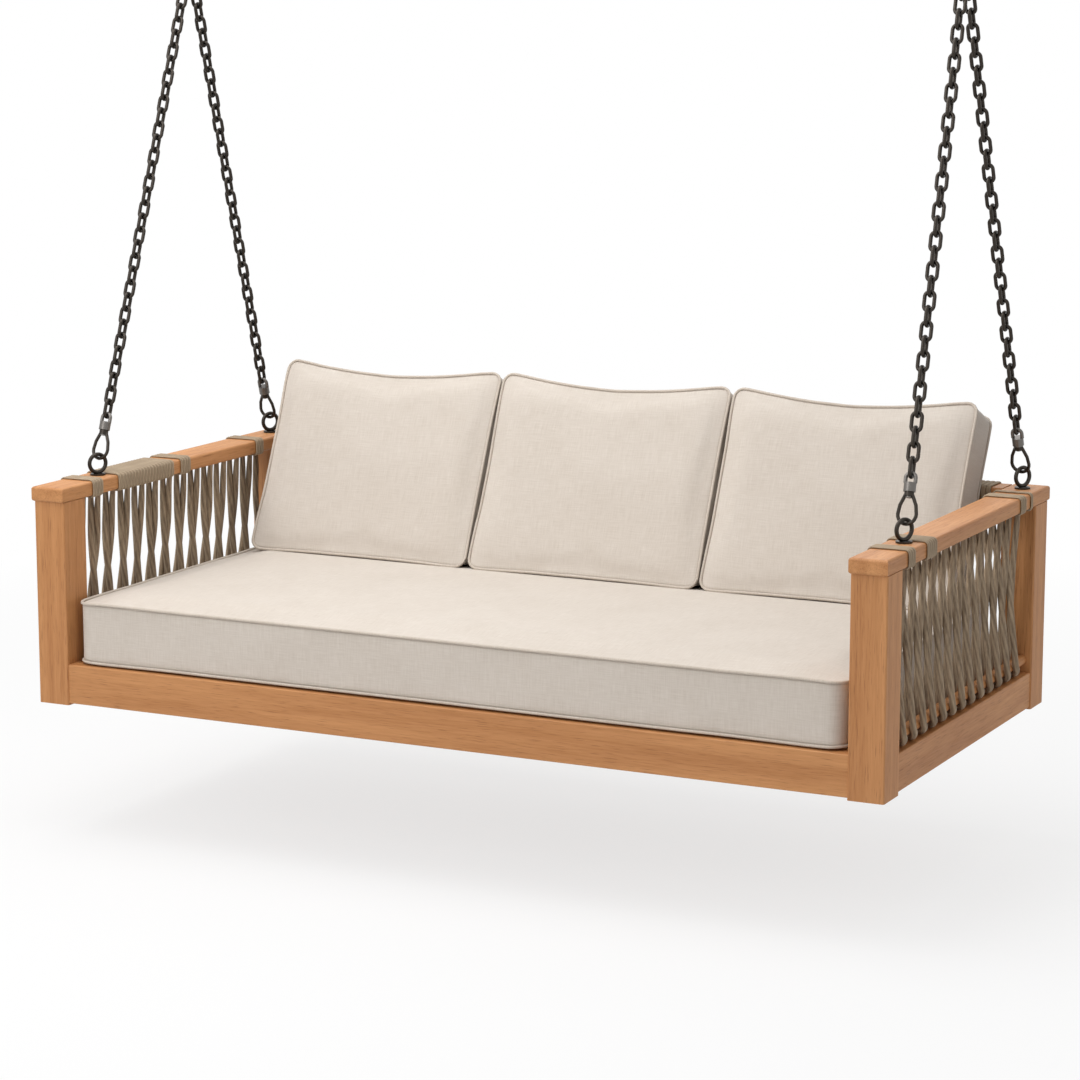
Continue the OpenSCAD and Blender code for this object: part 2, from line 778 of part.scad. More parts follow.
module chain(side, end) {
    advance = link_advance(side, end);
    length = advance + link_wire + link_gap;
    first = -(apex_ring_r - apex_wire / 2 - link_wire / 2 - link_gap) - length / 2;
    color(gunmetal) along(apex_at(side), chain_dir(side, end))
        for (i = [0:link_count(side, end) - 1])
            translate([0, 0, first - i * advance]) rotate([0, 0, 90 * (i % 2)]) chain_link(length);
}

// the place where the bow hooks the eye ring
module at_hook(side, end) {
    along(hook_at(side, end), chain_dir(side, end)) rotate([0, 0, bow_turn]) children();
}

module swivel(side, end) {
    turned = link_count(side, end) % 2 == 0 ? 0 : 90;
    color(grey_steel) at_hook(side, end) {
        translate([0, 0, boss_low - seat_gap - rivet_height])
            cylinder(d = rivet_d, h = rivet_height);
        translate([0, 0, boss_low - seat_gap - rivet_height])
            cylinder(d = swivel_d, h = collar_low - boss_low + seat_gap + rivet_height + fuse);
        translate([0, 0, collar_low]) cylinder(d = collar_d, h = collar_height);
        rotate([0, 0, turned - bow_turn]) {
            translate([0, 0, collar_top + eye_leg]) upright_arch(link_r, link_wire / 2);
            for (x = [-1, 1])
                translate([x * link_r, 0, collar_top - fuse])
                    cylinder(d = link_wire, h = eye_leg + fuse);
        }
    }
}

// The bow's wire: up one side from the boss, round the foot and up the other side.
bow_steps = 12;
bow_sides = 12;
// its ends sink this far into the boss, and its sides draw in a little half way up
bow_end_sunk = 3;
bow_draw_in = 0.86;
bow_end_r = boss_d / 2 - bow_end_sunk;
function bow_side(side) = [side * bow_end_r, 0, boss_low + boss_height / 2];
function bow_path() = concat(
    [bow_side(-1)],
    [[-bow_r * bow_draw_in, 0, bow_mid + bow_rise / 2]],
    [for (j = [0:bow_steps]) let (a = 180 + j * 180 / bow_steps)
        [bow_r * cos(a), 0, bow_mid + bow_r * sin(a)]],
    [[bow_r * bow_draw_in, 0, bow_mid + bow_rise / 2]],
    [bow_side(1)]);

module bow(side, end) {
    color(gunmetal) at_hook(side, end) difference() {
        union() {
            tube(bow_path(), [0, 1, 0], bow_wire / 2, bow_sides);
            translate([0, 0, boss_low]) cylinder(d = boss_d, h = boss_height);
        }
        translate([0, 0, boss_low - past - bow_wire])
            cylinder(d = swivel_d + 2 * running_gap, h = boss_height + 2 * past + 2 * bow_wire);
        translate([0, 0, boss_low - rivet_height - 2 * seat_gap])
            cylinder(d = rivet_d + 2 * seat_gap, h = rivet_height + 2 * seat_gap);
    }
}

// ---- ceiling hangers ----

module apex_ring(side) {
    color(gunmetal) translate(apex_at(side)) rotate([0, 90, 0])
        torus(apex_ring_r, apex_wire / 2);
}

module yoke(side) {
    color(gunmetal) translate([side * apex_x, apex_back, 0]) difference() {
        union() {
            translate([0, 0, pin_z]) rod_x(barrel_d / 2, barrel_length);
            translate([-barrel_length / 2, -yoke_eye_thickness / 2, yoke_hole_z])
                cube([barrel_length, yoke_eye_thickness, yoke_drop]);
            translate([0, 0, yoke_hole_z]) rod_y(yoke_eye_r, yoke_eye_thickness);
        }
        translate([0, 0, pin_z]) rod_x(pin_d / 2 + running_gap, barrel_length + 2 * past);
        translate([0, 0, yoke_hole_z]) rod_y(yoke_hole_r, yoke_eye_thickness + 2 * past);
    }
}

module ceiling_plate(side) {
    color(gunmetal) translate([side * apex_x, apex_back, 0]) difference() {
        union() {
            translate([-plate_width / 2, -plate_length / 2, plate_z])
                cube([plate_width, plate_length, plate_thickness]);
            for (x = [-1, 1])
                translate([x * (cheek_room + cheek_thickness) / 2, 0, 0]) {
                    translate([-cheek_thickness / 2, -cheek_r, pin_z])
                        cube([cheek_thickness, 2 * cheek_r, pin_drop + fuse]);
                    translate([0, 0, pin_z]) rod_x(cheek_r, cheek_thickness);
                }
        }
        translate([0, 0, pin_z])
            rod_x(pin_d / 2 + running_gap, cheek_room + 2 * cheek_thickness + 2 * past);
        for (y = [-1, 1])
            translate([0, y * plate_hole_pitch / 2, plate_z - past])
                cylinder(d = plate_hole_d, h = plate_thickness + 2 * past);
    }
}

cheek_out = cheek_room / 2 + cheek_thickness;
pin_tail = 2;
pin_nut_height = 8;
pin_head_height = 7;
// the pins' hexagon heads and nuts: width across the flats per pin diameter, and across the corners
pin_hex_ratio = 1.6;
pin_hex_d = pin_d * pin_hex_ratio / cos(30);

module hanger_pins() {
    color(grey_steel) for (side = [left, right])
        translate([side * apex_x, apex_back, pin_z]) {
            translate([-cheek_out - seat_gap - fuse, 0, 0]) rotate([0, 90, 0])
                cylinder(d = pin_d,
                    h = 2 * cheek_out + 2 * seat_gap + pin_nut_height + pin_tail + fuse);
            translate([-cheek_out - seat_gap - pin_head_height, 0, 0]) rotate([0, 90, 0])
                cylinder(d = pin_hex_d, h = pin_head_height, $fn = 6);
        }
}

module hanger_nuts() {
    color(grey_steel) for (side = [left, right])
        translate([side * apex_x + cheek_out + seat_gap, apex_back, pin_z]) rotate([0, 90, 0])
            difference() {
                cylinder(d = pin_hex_d, h = pin_nut_height, $fn = 6);
                translate([0, 0, -past])
                    cylinder(d = pin_d + 2 * running_gap, h = pin_nut_height + 2 * past);
            }
}

// ---- cushions ----

// a block with round corners in plan and softer edges above and below, centred on its base
module soft_block(size, corner, edge) {
    intersection() {
        linear_extrude(size[2]) round_rect(size[0], size[1], corner);
        translate([0, 0, size[2] / 2]) bar_x(size[0] + past, size[1], size[2], edge);
        translate([0, 0, size[2] / 2]) bar_y(size[0], size[1] + past, size[2], edge);
    }
}

module seat_cushion() {
    color(linen) translate([0, (seat_front + seat_back) / 2, seat_bottom])
        soft_block([2 * seat_half, seat_back - seat_front, seat_thickness],
            cushion_corner, cushion_edge);
}

// A back cushion leans: t runs through it (0 at its back face), h up along the lean.
function leaned(t, h) = [lean_foot_y + t * cos(back_lean) + h * sin(back_lean),
    seat_top - t * sin(back_lean) + h * cos(back_lean)];
// a point of its side view that lies on the seat cushion
function lean_foot(t) = leaned(t, (seat_gap + t * sin(back_lean)) / cos(back_lean));
edge_steps = 6;
function lean_arc(t, h, from) = [for (j = [0:edge_steps]) let (a = from - j * 90 / edge_steps)
    leaned(t + cushion_edge * cos(a), h + cushion_edge * sin(a))];

module back_cushion(place) {
    x = place * (back_width + back_room);
    reach = 2 * cushion_corner + back_thickness;
    color(linen) intersection() {
        translate([x, 0, 0]) rotate([90, 0, 90]) linear_extrude(back_width, center = true)
            polygon(concat(
                [lean_foot(-back_thickness)],
                lean_arc(-back_thickness + cushion_edge, back_height - cushion_edge, 180),
                lean_arc(-cushion_edge, back_height - cushion_edge, 90),
                [lean_foot(0)]));
        translate([x, lean_foot_y, seat_top]) rotate([-back_lean, 0, 0])
            translate([0, -back_thickness / 2, (back_height - reach) / 2]) rotate([90, 0, 0])
            linear_extrude(back_thickness + 2 * past, center = true)
            round_rect(back_width, back_height + reach, cushion_corner);
    }
}

in_bed() ceiling_plate(left);  // ceiling_plate_left
in_bed() ceiling_plate(right);  // ceiling_plate_right
in_bed() hanger_pins();
in_bed() hanger_nuts();
in_bed() yoke(left);  // yoke_left
in_bed() yoke(right);  // yoke_right
in_bed() apex_ring(left);  // apex_ring_left
in_bed() apex_ring(right);  // apex_ring_right
in_bed() chain(left, front);  // chain_left_front
in_bed() chain(left, back);  // chain_left_back
in_bed() chain(right, front);  // chain_right_front
in_bed() chain(right, back);  // chain_right_back
in_bed() swivel(left, front);  // swivel_left_front
in_bed() swivel(left, back);  // swivel_left_back
in_bed() swivel(right, front);  // swivel_right_front
in_bed() swivel(right, back);  // swivel_right_back
in_bed() bow(left, front);  // bow_left_front
in_bed() bow(left, back);  // bow_left_back
in_bed() bow(right, front);  // bow_right_front
in_bed() bow(right, back);  // bow_right_back
in_bed() eye_bolts();
in_bed() eye_washers();
in_bed() eye_nuts();
in_bed() post(left, front);  // post_left_front
in_bed() post(left, back);  // post_left_back
in_bed() post(right, front);  // post_right_front
in_bed() post(right, back);  // post_right_back
in_bed() arm_rail(left);  // arm_rail_left
in_bed() arm_rail(right);  // arm_rail_right
in_bed() back_top_rail();
in_bed() long_base_rail(front);  // front_base_rail
in_bed() long_base_rail(back);  // back_base_rail
in_bed() side_base_rail(left);  // left_base_rail
in_bed() side_base_rail(right);  // right_base_rail
in_bed() base_tenons();
in_bed() top_tenons();
in_bed() arm_dowels();
in_bed() slats();
in_bed() slat_cleats();
in_bed() slat_screws();
in_bed() centre_beam();
in_bed() beam_blocks();
in_bed() side_weave_rod(left);  // weave_rod_left
in_bed() side_weave_rod(right);  // weave_rod_right
in_bed() back_weave_rod();  // weave_rod_back
in_bed() side_lower_dowel(left);  // lower_dowel_left
in_bed() side_lower_dowel(right);  // lower_dowel_right
in_bed() back_lower_dowel();  // lower_dowel_back
in_bed() side_weave(left);  // weave_left
in_bed() side_weave(right);  // weave_right
in_bed() back_weave();  // weave_back
in_bed() arm_whipping(left);  // arm_whipping_left
in_bed() arm_whipping(right);  // arm_whipping_right
in_bed() back_whipping();
in_bed() seat_cushion();
in_bed() back_cushion(-1);  // back_cushion_left
in_bed() back_cushion(0);  // back_cushion_centre
in_bed() back_cushion(1);  // back_cushion_right
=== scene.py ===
# %% [markdown]
# # A hanging swing bed
# The bed's construction is already packed as a frame: every post, rail, link and nut at its real
# place. Here it gets its looks. The frame is loaded first. Nothing that is added may make the
# bed bigger than it is.

# %% Load the frame
import math
import random

import bmesh
import bpy
from mathutils import Matrix, Vector, noise


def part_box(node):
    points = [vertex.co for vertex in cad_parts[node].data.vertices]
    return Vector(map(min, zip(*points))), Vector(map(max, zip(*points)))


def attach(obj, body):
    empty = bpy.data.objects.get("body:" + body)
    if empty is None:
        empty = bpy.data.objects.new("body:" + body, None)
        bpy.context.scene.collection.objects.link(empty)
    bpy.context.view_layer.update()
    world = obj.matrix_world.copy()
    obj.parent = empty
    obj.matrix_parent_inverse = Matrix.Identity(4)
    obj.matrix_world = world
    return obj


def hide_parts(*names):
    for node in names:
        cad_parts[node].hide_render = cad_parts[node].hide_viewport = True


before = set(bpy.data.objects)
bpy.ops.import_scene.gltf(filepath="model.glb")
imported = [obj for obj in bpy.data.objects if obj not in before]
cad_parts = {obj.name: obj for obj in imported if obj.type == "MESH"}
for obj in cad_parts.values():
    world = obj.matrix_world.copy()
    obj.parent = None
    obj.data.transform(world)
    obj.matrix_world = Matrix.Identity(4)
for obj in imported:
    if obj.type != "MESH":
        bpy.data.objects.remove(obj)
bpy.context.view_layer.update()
scene = bpy.context.scene
scene.view_settings.view_transform = "Standard"

# %% [markdown]
# The bed is easiest to think of from the floor side: z = 0 under the posts and y = 0 half way from
# front to back. The frame's own origin is up at the ceiling, so one small function turns a place on
# the bed into a place in the frame. It measures where the posts stand instead of trusting a number.

# %% Places on the bed
feet_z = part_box("post_left_front")[0].z
mid_y = (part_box("post_left_front")[0].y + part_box("post_left_back")[1].y) / 2


def bed(x, y, z):
    """A place on the bed, in the frame."""
    return Vector((x, mid_y + y, feet_z + z))


print("posts stand at z", round(feet_z, 4), "and mid depth is at y", round(mid_y, 4))

# %% [markdown]
# The photograph was taken from the front right, a little above the cushions, with a long lens: the
# far posts look nearly as large as the near ones. A camera's turn is easiest to give as two angles,
# how far it looks round to the left and how far down.

# %% Camera
camera_place = bed(3.1395, -6.2883, 1.6302)
camera_left = math.radians(26.55)
camera_down = math.radians(10.19)
photo_width = 1080
focal_pixels = 3229.6

camera = bpy.data.objects.new("camera", bpy.data.cameras.new("camera"))
scene.collection.objects.link(camera)
scene.camera = camera
camera.location = camera_place
camera.rotation_euler = (math.pi / 2 - camera_down, 0, camera_left)
camera.data.sensor_width = 36
camera.data.lens = focal_pixels / photo_width * camera.data.sensor_width
camera.data.clip_end = 500
print("camera: lens", round(camera.data.lens, 1), "mm")

# %% [markdown]
# Shader maths reads badly as node calls, so one class stands for a wire between two nodes and
# overloads + - * and /. Python then writes the Math nodes. Every other node comes from a single
# method, which sets the node's own settings first and then its sockets.

# %% Wires and finishes
class Wire:
    """A node's output, on which ordinary maths adds Math nodes."""

    def __init__(self, finish, socket):
        self.finish = finish
        self.socket = socket

    def maths(self, operation, first, second=0.0):
        return self.finish.node("ShaderNodeMath", {"operation": operation}, {0: first, 1: second})

    def __add__(self, other):
        return self.maths("ADD", self, other)

    __radd__ = __add__

    def __mul__(self, other):
        return self.maths("MULTIPLY", self, other)

    __rmul__ = __mul__

    def __sub__(self, other):
        return self.maths("SUBTRACT", self, other)

    def __rsub__(self, other):
        return self.maths("SUBTRACT", other, self)

    def __truediv__(self, other):
        return self.maths("DIVIDE", self, other)

    def sine(self):
        return self.maths("SINE", self)

    def limited(self):
        return self.finish.node("ShaderNodeClamp", {}, {"Value": self})


class Finish:
    """A material whose nodes are made one call at a time."""

    def __init__(self, name):
        self.material = bpy.data.materials.new(name)
        self.material.use_nodes = True
        self.tree = self.material.node_tree
        self.surface = self.tree.nodes["Principled BSDF"]

    def node(self, kind, settings=None, sockets=None, out=0):
        made = self.tree.nodes.new(kind)
        for key, value in (settings or {}).items():
            setattr(made, key, value)
        self.plug(made, sockets or {})
        return Wire(self, made.outputs[out])

    def plug(self, node, sockets):
        for key, value in sockets.items():
            if isinstance(value, Wire):
                self.tree.links.new(value.socket, node.inputs[key])
            else:
                node.inputs[key].default_value = value

    def mix(self, share, first, second):
        """A colour between two, by a share from 0 to 1."""
        return self.node("ShaderNodeMix", {"data_type": "RGBA"}, {0: share, 6: first, 7: second}, 2)

    def noise(self, place, scale, detail=3.0, rough=0.5):
        sockets = {"Vector": place, "Scale": scale, "Detail": detail, "Roughness": rough}
        return self.node("ShaderNodeTexNoise", {}, sockets)

    def stretched(self, place, scale):
        return self.node("ShaderNodeMapping", {"vector_type": "POINT"}, {"Vector": place, "Scale": scale})

    def bumped(self, height, strength, distance):
        sockets = {"Height": height, "Strength": strength, "Distance": distance}
        return self.node("ShaderNodeBump", {}, sockets)

    def sharpened(self, value, low, high):
        """0 below low, 1 above high, and a straight climb between."""
        return ((value - low) / (high - low)).limited()


def shade(red, green, blue):
    """A colour as a screen shows it, 0 to 255, made linear for the shader."""
    linear = []
    for part in (red, green, blue):
        share = part / 255
        linear.append(share / 12.92 if share <= 0.04045 else ((share + 0.055) / 1.055) ** 2.4)
    return (*linear, 1.0)


# %% [markdown]
# ## Light and floor
# The bed hangs in a white studio under a big overhead softbox, so what faces up is brightest, with
# a weaker key from the front left and a faint rim from behind. The floor is white a few metres
# away. Under the bed it is a pale surface that keeps the shadow, and partly glows, so that the
# shadow stays light.

# %% World
world = bpy.data.worlds.new("studio")
scene.world = world
world.use_nodes = True
world_nodes = world.node_tree.nodes
ambient_strength = 0.49
seen = world_nodes.new("ShaderNodeLightPath")
links = world.node_tree.links
glow = world_nodes["Background"]
glow.inputs["Color"].default_value = (1, 1, 1, 1)
glow.inputs["Strength"].default_value = ambient_strength
white = world_nodes.new("ShaderNodeBackground")
white.inputs["Color"].default_value = (1, 1, 1, 1)
white.inputs["Strength"].default_value = 1
choose = world_nodes.new("ShaderNodeMixShader")
mask = seen.outputs["Is Camera Ray"]
for ray in ("Is Glossy Ray", "Is Transmission Ray"):
    wider = world_nodes.new("ShaderNodeMath")
    wider.operation = "MAXIMUM"
    links.new(mask, wider.inputs[0])
    links.new(seen.outputs[ray], wider.inputs[1])
    mask = wider.outputs[0]
links.new(mask, choose.inputs[0])
links.new(glow.outputs[0], choose.inputs[1])
links.new(white.outputs[0], choose.inputs[2])
links.new(choose.outputs[0], world_nodes["World Output"].inputs["Surface"])

# %% Lamps
lamp_height = 3.4
lit_middle = bed(0, 0, 0.3)


def softbox(name, place, size, watts):
    """A square lamp that points at the middle of the bed."""
    lamp = bpy.data.objects.new(name, bpy.data.lights.new(name, "AREA"))
    lamp.data.size = size
    lamp.data.energy = watts
    lamp.location = place
    lamp.rotation_euler = (lit_middle - place).to_track_quat("-Z", "Y").to_euler()
    scene.collection.objects.link(lamp)


softbox("overhead", bed(-0.75, -0.7, lamp_height), size=3.4, watts=110)
softbox("key", bed(-1.9, -5.0, lamp_height), size=2.6, watts=83)
softbox("rim", bed(-0.5, 4.0, lamp_height), size=2.6, watts=35)
print("lamps: 3, and the world at", ambient_strength)

# %% Floor
floor_drop = 0.30
floor_half = 60
fade_from, fade_to = 1.6, 4.2
floor_glow = 0.66
floor_pale = 0.78

floor_finish = Finish("floor")
spot = floor_finish.node("ShaderNodeTexCoord", {}, {}, 3)
far = floor_finish.node("ShaderNodeVectorMath", {"operation": "LENGTH"}, {0: spot}, 1)
pale = floor_finish.node("ShaderNodeBsdfDiffuse", {}, {"Color": (floor_pale, floor_pale, floor_pale, 1)})
bright = floor_finish.node("ShaderNodeEmission", {}, {"Color": (1, 1, 1, 1), "Strength": 1.0})
looked_at = floor_finish.node("ShaderNodeLightPath")
rays = looked_at.socket.node.outputs
for ray in ("Is Glossy Ray", "Is Transmission Ray"):
    looked_at = looked_at.maths("MAXIMUM", looked_at, Wire(floor_finish, rays[ray]))
glowing = floor_finish.sharpened(far, fade_from, fade_to) * (1 - floor_glow) + floor_glow
whitened = glowing * looked_at
both = floor_finish.node("ShaderNodeMixShader", {}, {0: whitened, 1: pale, 2: bright})
floor_finish.plug(floor_finish.tree.nodes["Material Output"], {"Surface": both})

floor_shape = bmesh.new()
bmesh.ops.create_grid(floor_shape, x_segments=1, y_segments=1, size=floor_half)
bmesh.ops.translate(floor_shape, vec=bed(0, 0, -floor_drop), verts=floor_shape.verts)
floor_mesh = bpy.data.meshes.new("floor")
floor_shape.to_mesh(floor_mesh)
floor_shape.free()
floor_mesh.materials.append(floor_finish.material)
floor = bpy.data.objects.new("floor", floor_mesh)
scene.collection.objects.link(floor)
print("floor is", floor_drop, "m under the posts")

# %% [markdown]
# ## Wood
# The frame is an oiled golden-brown hardwood. Its grain runs along each piece, so the pattern is
# noise squeezed across the piece and drawn out along it: broad bands of tone, fine fibres and
# short dark pores. One function makes it for any direction, and each set of pieces takes the one
# that runs its way.

# %% Wood finishes
wood_light = shade(200, 142, 89)
wood_dark = shade(170, 112, 62)
wood_pore = shade(122, 74, 40)
drawn_out = 0.045
band_scale = 26
fibre_scale = 260
pore_scale = 520
pore_depth = 0.55


def grain(name, along):
    """Wood whose fibres run along X, Y or Z."""
    wood = Finish(name)
    scale = [1.0, 1.0, 1.0]
    scale["XYZ".index(along)] = drawn_out
    place = wood.node("ShaderNodeTexCoord", {}, {}, 3)
    drawn = wood.stretched(place, scale)
    bands = wood.noise(drawn, band_scale, 3, 0.6)
    fibres = wood.noise(drawn, fibre_scale, 4, 0.65)
    pores = wood.sharpened(wood.noise(drawn, pore_scale, 2, 0.5), 0.60, 0.72)
    tone = wood.sharpened(bands * 0.62 + fibres * 0.38, 0.34, 0.64)
    base = wood.mix(tone, wood_light, wood_dark)
    wood.plug(wood.surface, {
        "Base Color": wood.mix(pores * pore_depth, base, wood_pore),
        "Roughness": 0.46 + fibres * 0.22,
        "Normal": wood.bumped(fibres - pores * 0.6, 0.22, 0.0006),
    })
    return wood.material


wood_along = {axis: grain("teak_along_" + axis, axis) for axis in "XYZ"}
print("wood:", sorted(wood_along))

# %% [markdown]
# ## Metal
# The chains are a satin brown-black, with a faint unevenness from their coating. The swivels are
# bare grey steel, a little scuffed and dull, and the rods, nuts and washers are plain bright steel.
# All three are one recipe with other numbers.

# %% Metal finishes
mottle_scale = 160
wear_scale = 420


def metal(name, colour, worn_colour, rough, wear):
    """Coated or bare steel, with worn specks where the noise is high."""
    steel = Finish(name)
    place = steel.node("ShaderNodeTexCoord", {}, {}, 3)
    mottle = steel.noise(place, mottle_scale, 4, 0.6)
    worn = steel.sharpened(steel.noise(place, wear_scale, 3, 0.6), 0.62, 0.74) * wear
    steel.plug(steel.surface, {
        "Base Color": steel.mix(worn, colour, worn_colour),
        "Metallic": 0.85,
        "Roughness": rough + mottle * 0.2,
        "Normal": steel.bumped(mottle, 0.25, 0.0004),
    })
    return steel.material


dark_steel = metal("dark_steel", shade(58, 53, 48), shade(112, 103, 92), 0.30, 0.6)
swivel_steel = metal("swivel_steel", shade(112, 108, 104), shade(160, 156, 150), 0.30, 0.7)
plain_steel = metal("plain_steel", shade(168, 168, 170), shade(196, 196, 198), 0.26, 0.4)
print("metal: 3 finishes")

# %% [markdown]
# ## Cord
# The rope is a twisted taupe cord. Its pattern has to follow the cord round every bend, so each
# cord's mesh carries an attribute with the angle round it and the distance along it. Its yarns
# climb slowly round it, and long thin fibres run with them. The grooves between the yarns are also
# painted darker, as painted shade.

# %% Cord finishes
lay_name = "lay"
lay_length = 0.060
yarns = 4
fibre_run = 14


def twisted(name, light, dark):
    """Yarns that follow the lay attribute: cos and sin of the angle round, and metres along."""
    cord = Finish(name)
    lay = cord.node("ShaderNodeAttribute", {"attribute_name": lay_name}, {}, 1)
    apart = cord.node("ShaderNodeSeparateXYZ", {}, {"Vector": lay})
    level, climb, along = (Wire(cord, socket) for socket in apart.socket.node.outputs)
    angle = cord.node("ShaderNodeMath", {"operation": "ARCTAN2"}, {0: climb, 1: level})
    ribs_and_groove_shade = (angle * yarns + along * (2 * math.pi / lay_length)).sine() * 0.5 + 0.5
    fibres = cord.noise(cord.stretched(lay, (1, 1, fibre_run)), 3.4, 4, 0.65)
    place = cord.node("ShaderNodeTexCoord", {}, {}, 3)
    weathering = cord.noise(place, 9, 2, 0.5)
    # the ribs raise the yarns in the bump and also darken the colour in the grooves between them: painted
    # shade
    tone = cord.sharpened(ribs_and_groove_shade * 0.22 + fibres * 0.85 + weathering * 0.35, 0.38, 1.02)
    cord.plug(cord.surface, {
        "Base Color": cord.mix(tone, dark, light),
        "Roughness": 0.76 + fibres * 0.16,
        "Normal": cord.bumped(ribs_and_groove_shade * 0.6 + fibres * 0.6, 0.5, 0.0008),
    })
    return cord.material


rope_finish = twisted("rope", shade(186, 164, 137), shade(88, 71, 53))
whipping_finish = twisted("whipping_cord", shade(182, 162, 136), shade(118, 100, 80))
print("cord: 2 finishes")

# %% [markdown]
# ## Linen
# The covers are a pale natural linen: a plain weave with thicker slub threads here and there, both
# ways. The cushions carry a UV map in metres that is laid on each panel, so the threads run square
# to the seams on every face, also on the leaning backs.

# %% Linen finish
linen_map = "panels"
thread = 0.0016
slub_scale = 460
slub_drawn_out = 0.05


def linen_cloth(name, light, dark):
    """A plain weave with slubs, on the panels' own UV map in metres."""
    cloth = Finish(name)
    flat = cloth.node("ShaderNodeUVMap", {"uv_map": linen_map}, {})
    warp = cloth.stretched(flat, (1.0, slub_drawn_out, 1.0))
    weft = cloth.stretched(flat, (slub_drawn_out, 1.0, 1.0))
    slub_warp = cloth.noise(warp, slub_scale, 2, 0.6)
    slub_weft = cloth.noise(weft, slub_scale, 2, 0.6)
    apart = cloth.node("ShaderNodeSeparateXYZ", {}, {"Vector": flat})
    outputs = apart.socket.node.outputs
    over = (Wire(cloth, outputs[0]) * (2 * math.pi / thread)).sine()
    under = (Wire(cloth, outputs[1]) * (2 * math.pi / thread)).sine()
    weave = over * under * 0.5 + 0.5
    broad = cloth.noise(flat, 6, 3, 0.55)
    tone = cloth.sharpened(slub_warp * 0.45 + slub_weft * 0.45 + broad * 0.25, 0.40, 0.76)
    cloth.surface.inputs["Sheen Weight"].default_value = 0.12
    cloth.surface.inputs["Sheen Roughness"].default_value = 0.5
    cloth.plug(cloth.surface, {
        "Base Color": cloth.mix(tone, light, dark),
        "Roughness": 0.86 + weave * 0.08,
        "Normal": cloth.bumped(slub_warp + slub_weft + weave * 0.5, 0.28, 0.0005),
    })
    return cloth.material


linen = linen_cloth("linen", shade(209, 200, 190), shade(192, 181, 169))
piping_linen = linen_cloth("piping_linen", shade(204, 193, 181), shade(182, 170, 156))
print("linen: cover and piping")

# %% [markdown]
# ## Finishes on the frame's own pieces
# Most hard pieces already have their true shape, so they only need their finish. The long rails
# run along X, the arms and side rails along Y, and the posts stand.

# %% Dress the frame
sides = ("left", "right")
ends = ("front", "back")
corners = [a + "_" + b for a in sides for b in ends]

finish_of = {}
for corner in corners:
    finish_of["post_" + corner] = wood_along["Z"]
    finish_of["chain_" + corner] = dark_steel
    finish_of["bow_" + corner] = dark_steel
    finish_of["swivel_" + corner] = swivel_steel
for side in sides:
    finish_of["arm_rail_" + side] = wood_along["Y"]
    finish_of[side + "_base_rail"] = wood_along["Y"]
    finish_of["lower_dowel_" + side] = wood_along["Y"]
    finish_of["weave_rod_" + side] = plain_steel
    for kind in ("ceiling_plate_", "yoke_", "apex_ring_"):
        finish_of[kind + side] = dark_steel
for node in ("back_top_rail", "front_base_rail", "back_base_rail", "lower_dowel_back",
             "slat_cleats", "centre_beam", "beam_blocks", "base_tenons", "top_tenons"):
    finish_of[node] = wood_along["X"]
finish_of["slats"] = wood_along["Y"]
finish_of["arm_dowels"] = wood_along["Z"]
finish_of["eye_bolts"] = dark_steel
for node in ("hanger_pins", "hanger_nuts", "eye_washers", "eye_nuts", "slat_screws",
             "weave_rod_back"):
    finish_of[node] = plain_steel

for node, finish in finish_of.items():
    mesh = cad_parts[node].data
    mesh.materials.clear()
    mesh.materials.append(finish)
print("dressed", len(finish_of), "of", len(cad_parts), "nodes")

# %% [markdown]
# ## Making a piece
# Every new piece is finished the same way: its mesh is smooth-shaded, it rides on a body, and it
# stands for the plain solids that it replaces.

# %% Piece helper
def piece(name, shape, finish, body, slot, *replaced):
    """Turns a bmesh into a finished piece of the bed."""
    mesh = bpy.data.meshes.new(name)
    shape.to_mesh(mesh)
    shape.free()
    mesh.materials.append(finish)
    mesh.shade_smooth()
    made = bpy.data.objects.new(name, mesh)
    scene.collection.objects.link(made)
    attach(made, body)
    if replaced:
        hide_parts(*replaced)
    print(name + ":", len(mesh.polygons), "faces")
    return made


def swept(shape, path, across, half_wide, half_thick, sides_round, closed=False, swell=None):
    """A cord along a path: rings that are bridged one to the next, with the lay attribute.

    across is the direction in which a flat cord is wide. Half sizes are in metres, and swell
    gives the share of them that each ring has."""
    lay = shape.verts.layers.float_vector.get(lay_name)
    if lay is None:
        lay = shape.verts.layers.float_vector.new(lay_name)
    count = len(path)
    rings = []
    travelled = 0.0
    for i, point in enumerate(path):
        before = path[i - 1] if i or closed else point
        after = path[(i + 1) % count] if i + 1 < count or closed else point
        ahead = (after - before).normalized()
        wide = (across - ahead * across.dot(ahead)).normalized()
        thick = ahead.cross(wide)
        if i:
            travelled += (point - path[i - 1]).length
        full = swell[i] if swell else 1.0
        sized = Matrix((wide * half_wide * full, thick * half_thick * full, ahead))
        turned = sized.transposed().to_4x4()
        made = bmesh.ops.create_circle(
            shape, segments=sides_round, radius=1, matrix=Matrix.Translation(point) @ turned)
        ring = made["verts"]
        for k, vert in enumerate(ring):
            angle = 2 * math.pi * k / sides_round
            vert[lay] = Vector((math.cos(angle), math.sin(angle), travelled))
        rings.append(ring)
    pairs = list(zip(rings, rings[1:])) + ([(rings[-1], rings[0])] if closed else [])
    for first, second in pairs:
        for k in range(sides_round):
            after = (k + 1) % sides_round
            shape.faces.new((first[k], first[after], second[after], second[k]))
    if not closed:
        for ring in (rings[0], rings[-1]):
            bmesh.ops.contextual_create(shape, geom=ring)
    return travelled


